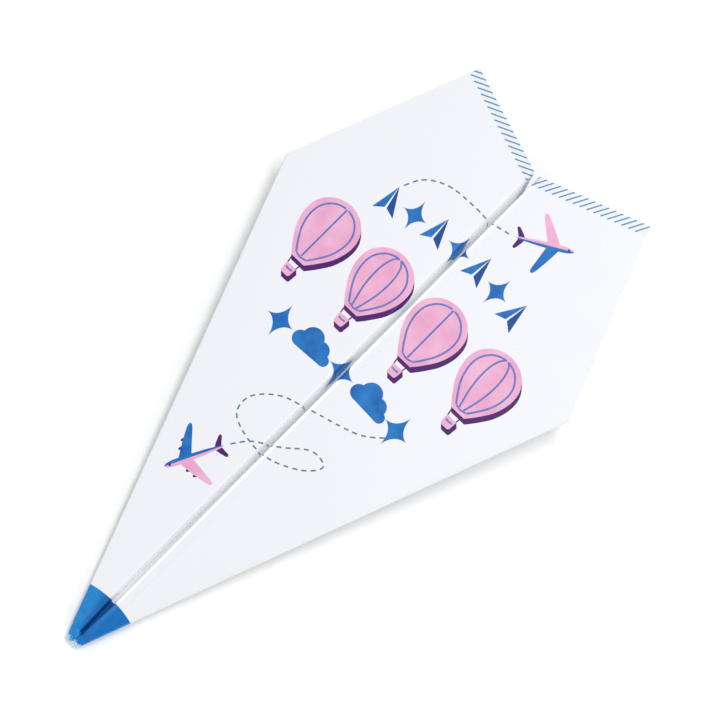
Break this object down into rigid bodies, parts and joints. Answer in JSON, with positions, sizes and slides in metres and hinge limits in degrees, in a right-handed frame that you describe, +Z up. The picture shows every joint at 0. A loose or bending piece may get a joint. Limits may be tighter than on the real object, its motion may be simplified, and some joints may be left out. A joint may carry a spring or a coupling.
{
  "type": "folded card dart",
  "caption": "Paper plane folded from printed card: swept flat wings that hinge on their creases, a shallow keel that spreads, and a blunt nose.",
  "frame": {"origin": "under the middle of the plane's box, on the surface that the keel's flat bottom stands on", "axes": "+Z up, nose towards -X and tail towards +X, right wing towards +Y"},
  "size_m": [0.2522, 0.143, 0.0262],
  "materials": {
    "printed_card": "satin",
    "plain_card": "matte",
    "nose_ink": "satin"
  },
  "bodies": {
    "root": {"left_keel": "printed_card", "left_keel_flap": "plain_card", "keel_fold": "printed_card", "nose_point": "nose_ink"},
    "right_keel": {"right_keel": "printed_card", "right_keel_flap": "plain_card"},
    "left_wing": {"left_wing": "printed_card", "left_wing_flap": "plain_card", "left_leading_fold": "printed_card", "left_wing_crease": "printed_card", "left_flap_crease": "plain_card"},
    "right_wing": {"right_wing": "printed_card", "right_wing_flap": "plain_card", "right_leading_fold": "printed_card", "right_wing_crease": "printed_card", "right_flap_crease": "plain_card"}
  },
  "joints": [
    {"name": "keel_spread", "type": "hinge", "parent": "root", "child": "right_keel", "pos_m": [0, 0.0008, 0.0008], "axis": [-1, 0, 0], "range_deg": [0, 20]},
    {"name": "left_wing_fold", "type": "hinge", "parent": "root", "child": "left_wing", "pos_m": [-0.00738, -0.0024, 0.01342], "axis": [0.9963, 0, 0.0858], "range_deg": [-20, 80]},
    {"name": "right_wing_fold", "type": "hinge", "parent": "right_keel", "child": "right_wing", "pos_m": [-0.00738, 0.0024, 0.01342], "axis": [-0.9963, 0, -0.0858], "range_deg": [-20, 80]}
  ]
}
